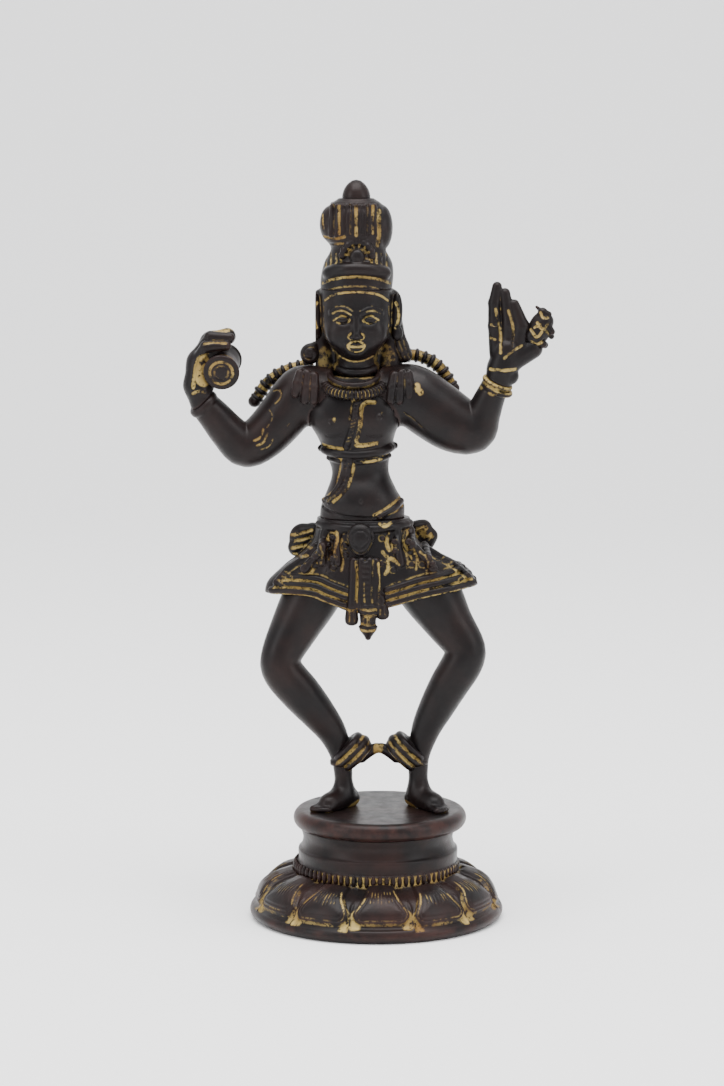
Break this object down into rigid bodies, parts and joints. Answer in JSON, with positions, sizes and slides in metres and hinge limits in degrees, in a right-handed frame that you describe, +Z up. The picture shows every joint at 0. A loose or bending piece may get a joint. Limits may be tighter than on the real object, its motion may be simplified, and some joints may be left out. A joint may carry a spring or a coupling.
{
  "type": "brass nataraja statue",
  "caption": "Dark patinated cast brass dancing figure with a drum and a small antelope in its hands, bolted to a hollow round lotus pedestal.",
  "frame": {"origin": "centre of the pedestal's underside", "axes": "+Z up, figure looks along -Y, its left hand towards +X"},
  "size_m": [0.1123, 0.078, 0.228],
  "materials": {
    "figure_brass": "dark brown-black patina, satin, with ochre brass in the chased grooves",
    "pedestal_brass": "dark brown-black patina, satin, with ochre brass between the petals",
    "steel_fasteners": "plain zinc-plated steel, slightly dulled"
  },
  "bodies": {
    "root": {"lotus_base": "pedestal_brass", "plinth_disc": "pedestal_brass", "foot_studs": "steel_fasteners", "stud_washers": "steel_fasteners", "stud_nuts": "steel_fasteners", "right_leg": "figure_brass", "left_leg": "figure_brass", "right_anklet": "figure_brass", "left_anklet": "figure_brass", "ankle_strut": "figure_brass", "skirt": "figure_brass", "buckle": "figure_brass", "sash": "figure_brass", "right_hip_bow": "figure_brass", "left_hip_bow": "figure_brass", "torso": "figure_brass", "collar": "figure_brass", "head": "figure_brass", "crown": "figure_brass", "finial": "figure_brass", "right_earring": "figure_brass", "left_hair": "figure_brass", "right_arm": "figure_brass", "left_arm": "figure_brass", "right_hand": "figure_brass", "left_hand": "figure_brass", "drum": "figure_brass", "antelope": "figure_brass", "right_braid": "figure_brass", "left_braid": "figure_brass", "right_locks": "figure_brass", "left_locks": "figure_brass"}
  },
  "joints": []
}
